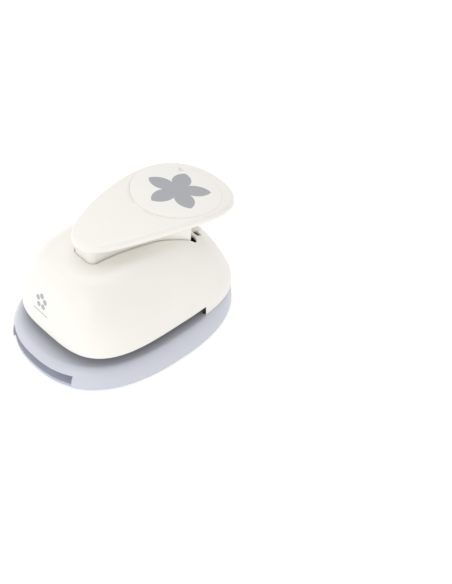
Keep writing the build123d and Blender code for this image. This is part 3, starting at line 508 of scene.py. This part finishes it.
# %% [markdown]
# ## The lever's skin
# The lever is a teardrop plate, arched from front to back, with a rounded rim. A skirt hangs
# under it and goes down through the housing's hole, and a round pocket in its wide end holds the
# pad. Rings are drawn flat, across and along, and then laid on the arc or on the skirt's slope.
# One run of rows goes from the middle of the cavity, round the skirt and the rim, to the pocket.

# %% Rings on the lever's arc and on the skirt's slope
lever_angles = np.linspace(-pi, pi, 420, endpoint=False)


def on_arc(ring, depth):
    """Across and along the lever to x, y, z, this far under its arched top."""
    along = ring[:, 1]
    rise = np.sqrt((RADIUS - depth) ** 2 - (along - LEVER_LENGTH / 2) ** 2) - (RADIUS - ARCH)
    y = LEVER_FRONT + along * cos(SLOPE) + rise * sin(SLOPE)
    return np.column_stack([ring[:, 0], y, LEVER_TOP - along * sin(SLOPE) + rise * cos(SLOPE)])


def on_slope(ring, depth):
    """Across and along the skirt to x, y, z, this far down from the lever's front end."""
    along = ring[:, 1]
    y = LEVER_FRONT + along * cos(TILT) - depth * sin(TILT)
    return np.column_stack([ring[:, 0], y, LEVER_TOP - along * sin(TILT) - depth * cos(TILT)])


def under_arc(row, depth):
    """The row moved up or down onto the arc this far under the lever's top."""
    return np.column_stack([row[:, :2], arc_height(row[:, 1], depth)])


def ring_of(outline, middle):
    """The outline at the lever's angles, as seen from this place along it."""
    centre = np.array([0.0, middle])
    reach = seen_from(outline, centre, lever_angles)
    return centre + reach[:, None] * np.stack([np.cos(lever_angles), np.sin(lever_angles)], axis=1)


def teardrop(inset):
    turn = np.linspace(0, pi, 1500)
    along = inset + (1 - np.cos(turn)) / 2 * (LEVER_LENGTH - 2 * inset)
    half = teardrop_half(along, inset)
    right = np.stack([half, along], axis=1)
    return ring_of(np.vstack([right, right[-2:0:-1] * [-1, 1]]), 48.0)


def circle(radius):
    return radius * np.stack([np.cos(lever_angles), np.sin(lever_angles)], axis=1) + [0, PAD_MIDDLE]


def skirt(grow, corner_front, corner_rear):
    return ring_of(skirt_outline(grow, grow, corner_front, corner_rear, LEVER_FRONT), 38.0)


# %% The lever's rows
PAD_MIDDLE, POCKET, PAD_PROUD = 68.2, 1.05, 0.25
PLATE_THICK, PLATE_WALL, SKIRT_DEEP = 4.8, 2.2, 18.0
skirt_in, skirt_mid, skirt_out = skirt(-1.8, 1.7, 0.6), skirt(-0.9, 2.6, 1.3), skirt(0.0, 3.5, 2.2)
cavity_middle = np.array([0.0, 38.0])
lever_rows = []
for share in (0.3, 0.6, 0.9, 1.0):
    ceiling = on_slope(cavity_middle + (skirt_in - cavity_middle) * share, PLATE_WALL)
    lever_rows.append(under_arc(ceiling, PLATE_WALL))
for depth in (5, 11, 17.5):
    lever_rows.append(on_slope(skirt_in, depth))
lever_rows += [on_slope(skirt_mid, SKIRT_DEEP), on_slope(skirt_out, SKIRT_DEEP - 0.4)]
for depth in (14, 11, 8, 6.4, 5.4):
    lever_rows.append(on_slope(skirt_out, depth))
skirt_root, under_rim = on_slope(skirt(0.35, 3.8, 2.5), 5.0), on_arc(teardrop(2.4), PLATE_THICK)
for share in (0, 0.3, 0.7, 0.95):
    lever_rows.append(under_arc(skirt_root * (1 - share) + under_rim * share, PLATE_THICK))
rim = (
    (1.6, PLATE_THICK), (1.2, 4.72), (0.8, 4.5), (0.45, 4.1), (0.18, 3.6), (0.04, 3.0), (0.0, 2.5), (0.03, 2.0),
    (0.15, 1.5), (0.36, 1.05), (0.65, 0.68), (1.02, 0.37), (1.45, 0.14), (1.9, 0.03), (2.3, 0.0),
)
for inset, depth in rim:
    lever_rows.append(on_arc(teardrop(inset), depth))
top_edge, pocket_ring = teardrop(2.3), circle(25.53)
for share in (0.1, 0.3, 0.5, 0.7, 0.9, 1.0):
    lever_rows.append(on_arc(top_edge * (1 - share) + pocket_ring * share, 0.0))
for radius, depth in ((25.49, 0.03), (25.47, 0.08), (25.46, 0.3), (25.46, POCKET), (15, POCKET)):
    lever_rows.append(on_arc(circle(radius), depth))
lever_poles = [
    on_arc(cavity_middle[None, :], PLATE_WALL)[0],
    on_arc(np.array([[0.0, PAD_MIDDLE]]), POCKET)[0],
]
lever_skin = skin("lever_plate", lever_rows, "lever", "lever_cover", poles=lever_poles)

# %% The pad's rows
pad_rows = []
for radius, depth in ((12, POCKET), (25.0, POCKET), (25.3, 0.95), (25.39, 0.7), (25.39, 0.05), (25.36, -0.08),
                      (25.28, -0.17), (25.1, -0.23), (24.8, -PAD_PROUD), (18, -PAD_PROUD), (10, -PAD_PROUD)):
    pad_rows.append(on_arc(circle(radius), depth))
pad_poles = [on_arc(np.array([[0.0, PAD_MIDDLE]]), depth)[0] for depth in (POCKET, -PAD_PROUD)]
pad_skin = skin("press_pad", pad_rows, "lever", "pad_disc", poles=pad_poles)

# %% [markdown]
# ## The two springs
# The springs stand in pockets in the guide block and lift the pusher plate, and shorten as the
# cutter goes down; here each is drawn at its rest length. A coil is a tube on a helix: a ring of
# points across the wire, moved along the helix.

# %% The coils
POCKET_FLOOR, PUSHER, TRAVEL = 18.0, 34.0, 4.2
COIL_RADIUS, WIRE, TURNS, POST_X, SPRING_GAP = 3.2, 0.5, 6.5, 27.0, 0.05


def coil(name, stands_for, x):
    """Centre line (R cos t, R sin t, p t), with a circle of the wire's radius square to it."""
    low, high = POCKET_FLOOR + WIRE + SPRING_GAP, PUSHER - WIRE - SPRING_GAP
    t = np.linspace(0, 2 * pi * TURNS, 250)[:, None]
    pitch = (high - low) / (2 * pi * TURNS)
    a = np.linspace(0, 2 * pi, 14, endpoint=False)[None, :]
    slant = hypot(COIL_RADIUS, pitch)
    out, side = WIRE * np.cos(a), WIRE * np.sin(a) / slant
    points = np.stack([
        x + (COIL_RADIUS + out) * np.cos(t) - pitch * side * np.sin(t),
        (COIL_RADIUS + out) * np.sin(t) + pitch * side * np.cos(t),
        low + pitch * t - COIL_RADIUS * side,
    ], axis=-1)
    ends = [points[0].mean(axis=0), points[-1].mean(axis=0)]
    piece = skin(name, points, "base", stands_for, poles=ends)
    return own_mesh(piece)


springs = [
    coil("spring_left", "return_spring_left", -POST_X),
    coil("spring_right", "return_spring_right", POST_X),
]

# %% [markdown]
# ## Ivory and lavender plastic
# Both mouldings are satin plastic. A mould's fine spark grain makes their highlights soft, so
# each finish has a grain of about a third of a millimetre, broad cloudy changes of gloss, and a
# few fine rubs. The colour itself hardly changes, as it is mixed into the plastic.


# %% Moulded plastic
def plastic(name, colour, deeper, gloss):
    """Satin plastic between two colours; gloss is its mean roughness."""
    finish = Finish(name, IOR=1.49)
    cloud = finish.noise(0.05, 3.0)
    fine = finish.noise(3.2, 3.0)
    rubs = (finish.noise(0.9, 2.0, (1, 0.12, 1)) * 6 - 3.6).mask()
    finish.set("Roughness", gloss + (cloud - 0.5) * 0.1 + (fine - 0.5) * 0.06 + rubs * 0.07)
    finish.grain(fine + rubs * 0.15, 0.012)
    finish.colour = finish.blend((cloud * 1.3 - 0.15 + (fine - 0.5) * 0.2).mask(), colour, deeper)
    return finish


# %% The front mark on the ivory housing
IVORY, IVORY_DEEP = (0.905, 0.880, 0.832, 1), (0.880, 0.852, 0.800, 1)
GREY = (0.30, 0.31, 0.34, 1)
ivory = plastic("ivory_plastic", IVORY, IVORY_DEEP, 0.36)
MARK_X, MARK_Z, MARK_RADIUS, PETALS = -5.5, 38, 3.2, 5
mark = strip(ivory.x, ivory.z, (MARK_X, 31.0), 6.0, 0.4)
for petal in range(PETALS):
    turn = pi / 2 + petal * 2 * pi / PETALS
    dot = (MARK_X + MARK_RADIUS * cos(turn), MARK_Z + MARK_RADIUS * sin(turn))
    mark = mark.most(spot(ivory.x, ivory.z, dot, MARK_RADIUS / 2))
mark = mark * (-30 - ivory.y).mask()
# The two slots are shallow pockets coloured near-black: painted shade standing in for the dark inside open
# slots.
slot_painted_shade = strip(ivory.x.size(), ivory.y, (SLOT_X, SLOT_Y), 2.0, 1.25)
slot_painted_shade = slot_painted_shade * (ivory.z - 40).mask() * (53 - ivory.z).mask()  # only on the trough's floor
marked = ivory.blend(mark * 0.8, ivory.colour, GREY)
# The near-black here is the slots' painted shade.
ivory.set("Base Color", ivory.blend(slot_painted_shade, marked, (0.02, 0.02, 0.022, 1)))

lever_ivory = plastic("lever_ivory", IVORY, IVORY_DEEP, 0.34)
lever_ivory.set("Base Color", lever_ivory.colour)

LAVENDER, LAVENDER_DEEP = (0.62, 0.635, 0.705, 1), (0.59, 0.605, 0.675, 1)
lavender = plastic("base_lavender", LAVENDER, LAVENDER_DEEP, 0.33)
lavender.set("Base Color", lavender.colour)
cover_lavender = plastic("cover_lavender", (0.50, 0.515, 0.59, 1), (0.47, 0.485, 0.56, 1), 0.45)
cover_lavender.set("Base Color", cover_lavender.colour)

# %% [markdown]
# ## The pad's printed flower
# The pad shows the shape that the punch cuts, printed in grey. A petal is two arcs, so the
# shader folds every petal onto one and asks whether the point is inside one arc's circle.

# %% The print
PETAL_TIP, PETAL_NOTCH = 18.4, 8.0
PRINT_Y = 41.7
notch_point = (PETAL_NOTCH * cos(pi / PETALS), PETAL_NOTCH * sin(pi / PETALS))
belly_point, tip_point = (11.0, 5.2), (PETAL_TIP, 0.0)
# The circle through the three points: its centre is as far from each.
pairs = np.array([np.subtract(belly_point, notch_point), np.subtract(tip_point, notch_point)])
squares = [np.dot(point, point) - np.dot(notch_point, notch_point) for point in (belly_point, tip_point)]
arc_centre = np.linalg.solve(2 * pairs, squares)
arc_radius = hypot(*(arc_centre - tip_point))
print("petal arc: centre", arc_centre.round(2), "radius", round(arc_radius, 2))

pad = plastic("pad_ivory", (0.89, 0.875, 0.84, 1), IVORY, 0.3)
dx, dy = pad.x, pad.y - PRINT_Y
away = (dx * dx + dy * dy) ** 0.5
turn = dy.sum("ARCTAN2", dx) + (pi / 2 + pi / PETALS + 2 * pi)
folded = turn.sum("MODULO", 2 * pi / PETALS) - pi / PETALS
along = away * folded.sum("COSINE", 0)
across = (away * folded.sum("SINE", 0)).size()
du, dv = along - float(arc_centre[0]), across - float(arc_centre[1])
petal = ((arc_radius - (du * du + dv * dv) ** 0.5) * 7 + 0.5).mask()
core = ((notch_point[0] - away) * 7 + 0.5).mask()
long_tick = strip(pad.x, pad.y, (-15.5, 57.6), 1.9, 0.24)
ticks = long_tick.most(strip(pad.x, pad.y, (-15.0, 56.1), 1.1, 0.24))
print_mask = petal.most(core).most(ticks)
ink = pad.noise(1.6, 3.0)
printed = print_mask * (0.9 + (ink - 0.5) * 0.12)
pad.set("Base Color", pad.blend(printed, pad.colour, (0.34, 0.35, 0.385, 1)))


# %% [markdown]
# ## Steel, casting, rubber and nylon
# The die and the cutter are ground steel with fine parallel scratches, the guide is a casting
# with a near-black coat that also stands in for the shade in the paper throat, the screws and pins
# are plated, and the spring wire is drawn. The metals share one recipe: scratches along one
# direction change the gloss and the grain. A second recipe with an even pebble grain makes the
# coat, the rubber, the nylon and the near-black painted shade inside the housing.


# %% Metal recipes
def metal(name, colour, darker, roughness, stretch, scratch_scale, depth):
    """Metal with scratches drawn out along one direction."""
    finish = Finish(name, Metallic=1.0)
    scratches = finish.noise(scratch_scale, 4.0, stretch)
    stain = finish.noise(0.12, 3.0)
    finish.set("Roughness", roughness + (scratches - 0.5) * 0.22 + (stain - 0.5) * 0.1)
    finish.set("Base Color", finish.blend((stain * 1.4 - 0.2).mask(), colour, darker))
    finish.grain(scratches, depth)
    return finish


ground = metal("ground_steel", (0.62, 0.62, 0.63, 1), (0.52, 0.52, 0.54, 1), 0.3, (0.06, 1, 1), 4.0, 0.02)
sheet_steel = metal(
    "sheet_steel", (0.56, 0.56, 0.57, 1), (0.47, 0.47, 0.48, 1), 0.36, (1, 0.1, 0.1), 3.0, 0.02
)
plated = metal("plated_steel", (0.66, 0.65, 0.62, 1), (0.56, 0.55, 0.52, 1), 0.27, (1, 1, 0.2), 5.0, 0.012)
wire = metal("spring_wire", (0.44, 0.44, 0.46, 1), (0.33, 0.33, 0.35, 1), 0.28, (1, 1, 4), 3.0, 0.01)


def dull(name, colour, lighter, roughness, scale, depth):
    """A matt coat, rubber, or the near-black painted shade inside the housing, with an even pebble grain."""
    finish = Finish(name)
    pebbles, patches = finish.noise(scale, 4.0), finish.noise(0.15, 2.0)
    finish.set("Roughness", roughness + (pebbles - 0.5) * 0.2)
    finish.set("Base Color", finish.blend((patches * 0.6 + pebbles * 0.4).mask(), colour, lighter))
    finish.grain(pebbles, depth)
    return finish


# Near-black coat of the guide block; its darkness also paints the shade in the paper throat under the housing.
casting = dull("black_casting_and_painted_shade", (0.012, 0.012, 0.014, 1), (0.03, 0.03, 0.033, 1), 0.5, 1.6, 0.05)
# Near-black painted shade for the inside of the housing, whose real plastic is ivory.
painted_shade_inside = dull("painted_shade_inside", (0.008, 0.008, 0.009, 1), (0.016, 0.016, 0.018, 1), 0.7, 1.2, 0.03)
rubber = dull("foot_rubber", (0.025, 0.025, 0.026, 1), (0.05, 0.05, 0.05, 1), 0.8, 2.2, 0.05)
nylon = dull("white_nylon", (0.74, 0.73, 0.69, 1), (0.80, 0.79, 0.76, 1), 0.42, 2.0, 0.01)

# %% Give every shown piece its finish
finishes = {
    "ground": ("die_plate throat_spacer punch_cutter", ground),
    "sheet": ("pivot_bracket lever_arm pusher_plate", sheet_steel),
    "plated": (
        "cover_screws die_screws frame_rivets pusher_screws guide_posts housing_front_screws "
        "housing_rear_screws bracket_screws pivot_pin pivot_clips arm_screws nose_pin", plated,
    ),
    "casting": ("guide_block", casting),
    "rubber": ("rubber_feet", rubber),
    "nylon": ("press_nose", nylon),
    "cover": ("bottom_cover", cover_lavender),
}


def dress(piece, *chosen):
    """Puts one finish on each of the piece's material slots, in order."""
    for place, finish in enumerate(chosen):
        if place < len(piece.data.materials):
            piece.data.materials[place] = finish.material
        else:
            piece.data.materials.append(finish.material)


for group, (names, finish) in finishes.items():
    for name in names.split():
        dress(nodes[name], finish)
    print(group, "on", names)
for piece, finish in ((base_skin, lavender), (lever_skin, lever_ivory), (pad_skin, pad)):
    dress(piece, finish)
# The housing's inside gets the near-black painted shade.
dress(housing_skin, ivory, painted_shade_inside)
for piece in springs:
    dress(piece, wire)

# %% [markdown]
# ## Floor, light and camera
# The punch stands on a white table in even light. A big soft light overhead and weaker ones at
# the front left and front right leave hardly any shadow. The camera looks down over the front
# right corner with a long lens, so that upright edges stay nearly parallel.

# %% The floor
FLOOR_HALF, SQUARES = 4.0, 32  # metres from the middle to the edge, and squares along a side
ticks_along = np.linspace(-FLOOR_HALF, FLOOR_HALF, SQUARES + 1)
grid_x, grid_y = np.meshgrid(ticks_along, ticks_along)
floor_points = np.stack([grid_x, grid_y, np.zeros_like(grid_x)], axis=-1).reshape(-1, 3)
square = np.arange(SQUARES)
first = (square[:, None] * (SQUARES + 1) + square[None, :]).reshape(-1)
floor_faces = np.stack([first, first + 1, first + SQUARES + 2, first + SQUARES + 1], axis=1)
floor_mesh = bpy.data.meshes.new("table")
floor_mesh.from_pydata(floor_points.tolist(), [], floor_faces.tolist())
floor = bpy.data.objects.new("table", floor_mesh)
bpy.context.scene.collection.objects.link(floor)
paper = Finish("table_white")
paper.set("Base Color", paper.blend(paper.noise(0.01), (0.93, 0.93, 0.93, 1), (0.95, 0.95, 0.95, 1)))
paper.shader.inputs["Roughness"].default_value = 0.9
paper.shader.inputs["Emission Color"].default_value = (1, 1, 1, 1)
paper.shader.inputs["Emission Strength"].default_value = 0.3
dress(floor, paper)


# %% The lights
def soft_light(name, place, width, power, colour=(1, 1, 1)):
    """A square light at this place, in metres, facing the punch."""
    data = bpy.data.lights.new(name, "AREA")
    data.shape, data.size, data.energy, data.color = "SQUARE", width, power, colour
    lamp = bpy.data.objects.new(name, data)
    bpy.context.scene.collection.objects.link(lamp)
    lamp.location = place
    lamp.rotation_mode = "QUATERNION"
    lamp.rotation_quaternion = (Vector(place) - Vector((0, 0, 0.03))).to_track_quat("Z", "Y")
    return lamp


soft_light("overhead", (-0.5, 0.3, 1.5), 1.3, 6.5)
soft_light("front_left", (-1.2, -0.9, 0.9), 0.9, 2.0)
soft_light("front_right", (0.55, -1.3, 0.75), 1.1, 5.0)
world = bpy.data.worlds.new("studio")
world.use_nodes = True
world.node_tree.nodes["Background"].inputs["Color"].default_value = (1, 1, 1, 1)
world.node_tree.nodes["Background"].inputs["Strength"].default_value = 0.72
bpy.context.scene.world = world
bpy.context.scene.view_settings.view_transform = "Standard"

# %% The camera
ELEVATION, DISTANCE = radians(44.58), 0.812
TARGET = Vector((0.0267, 0.0532 + FLOWER_Y * MM, 0.0))
SIDEWAYS = radians(47.7)
toward = Vector((sin(SIDEWAYS) * cos(ELEVATION), -cos(SIDEWAYS) * cos(ELEVATION), sin(ELEVATION)))
camera_data = bpy.data.cameras.new("camera")
camera_data.lens, camera_data.sensor_width = 87.4, 36
camera = bpy.data.objects.new("camera", camera_data)
bpy.context.scene.collection.objects.link(camera)
camera.location = TARGET + toward * DISTANCE
camera.rotation_mode = "QUATERNION"
camera.rotation_quaternion = toward.to_track_quat("Z", "Y")
bpy.context.scene.camera = camera
print("camera at", [round(value, 3) for value in camera.location])
